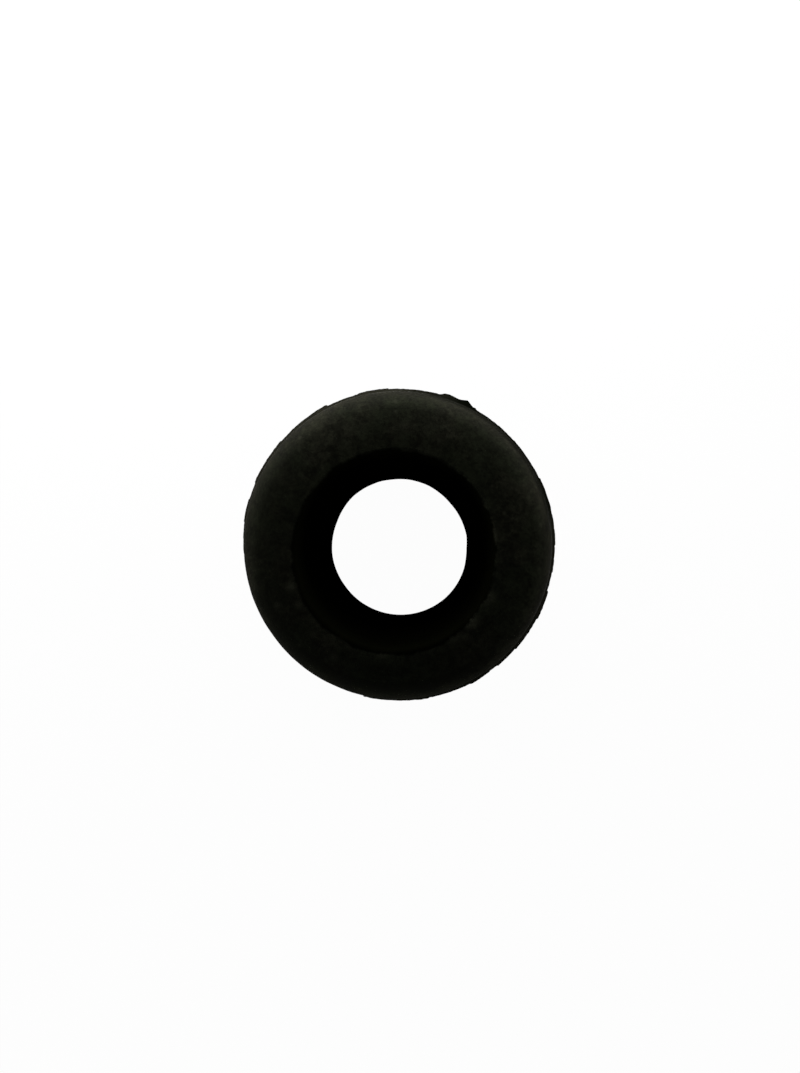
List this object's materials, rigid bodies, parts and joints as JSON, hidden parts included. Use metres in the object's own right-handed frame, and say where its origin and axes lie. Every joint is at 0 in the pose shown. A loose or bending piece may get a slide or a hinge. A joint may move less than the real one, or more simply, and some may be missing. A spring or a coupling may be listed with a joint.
{
  "type": "rubber buffer",
  "caption": "Ring-shaped moulded rubber buffer with a crowned top, rounded rims, a bore that tapers from a wide mouth to a straight bolt throat, and ragged mould flash along the parting line.",
  "frame": {"origin": "middle of the seat face, which the ring lies on", "axes": "+Z along the axis of the ring, from the seat face towards the wide mouth of the bore"},
  "size_m": [0.0203, 0.0204, 0.008],
  "materials": {
    "black_rubber": "matte moulded rubber, olive-black with faint pale bloom"
  },
  "bodies": {
    "root": {"buffer_ring": "black_rubber"}
  },
  "joints": []
}
